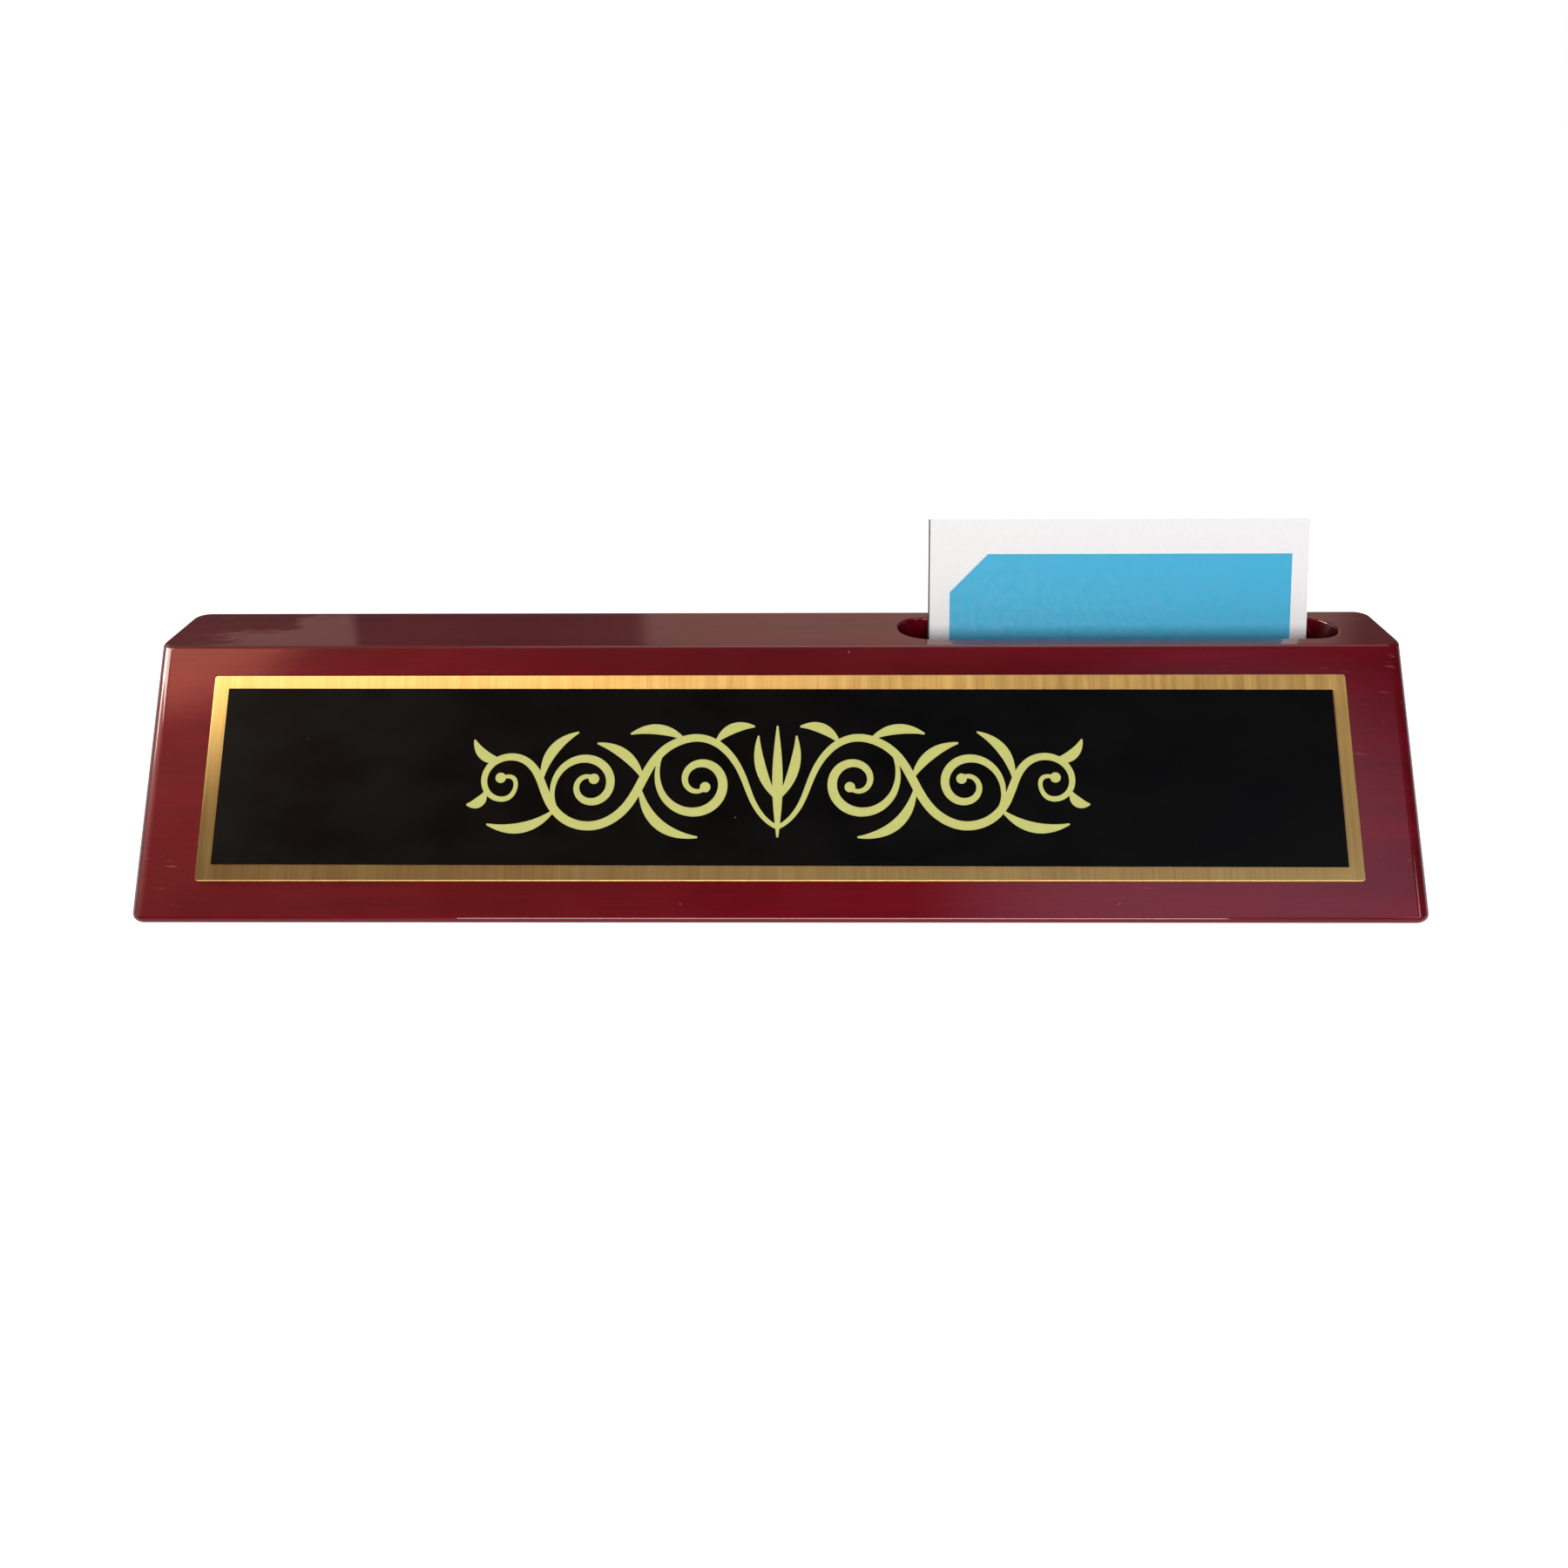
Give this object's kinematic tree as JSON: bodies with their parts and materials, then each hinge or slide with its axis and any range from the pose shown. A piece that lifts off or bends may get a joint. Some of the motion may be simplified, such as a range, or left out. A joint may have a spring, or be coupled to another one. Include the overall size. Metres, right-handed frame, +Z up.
{
  "type": "desk name wedge",
  "caption": "Wedge-shaped wooden desk name block with a bordered engraving plate on its sloping front and a slot in its narrow flat top that holds business cards.",
  "frame": {"origin": "under the middle of the whole piece, leaning cards included, on the plane that the felt pads rest on", "axes": "+X along the block, to the right of someone facing the plate; +Z up; the plate looks towards -Y and up"},
  "size_m": [0.2688, 0.0634, 0.0684],
  "materials": {
    "lacquered_wood": "dark red stain under thick clear gloss lacquer, with fine grain along the block",
    "brass": "brushed across the plate's width, clear coated",
    "black_enamel": "satin black screen-printed enamel",
    "printed_ink": "flat pale yellow-green ink",
    "tape": "double-sided mounting tape",
    "felt": "black pressed felt",
    "card": "matt white card with a printed blue panel",
    "card_rear": "matt card printed dark teal"
  },
  "bodies": {
    "block": {"wedge_block": "lacquered_wood", "name_plate": "brass", "plate_tape_lower": "tape", "plate_tape_upper": "tape", "black_enamel_field": "black_enamel", "flourish_print": "printed_ink", "felt_pad_front_left": "felt", "felt_pad_front_right": "felt", "felt_pad_rear_left": "felt", "felt_pad_rear_right": "felt"},
    "front_card": {"business_card_front": "card"},
    "rear_card": {"business_card_rear": "card_rear"}
  },
  "joints": [
    {"name": "front_card_lift", "type": "slide", "parent": "block", "child": "front_card", "axis": [0, 0.3613, 0.9324], "range_m": [0, 0.045]},
    {"name": "rear_card_lift", "type": "slide", "parent": "block", "child": "rear_card", "axis": [0, 0.3613, 0.9324], "range_m": [0, 0.045]}
  ]
}
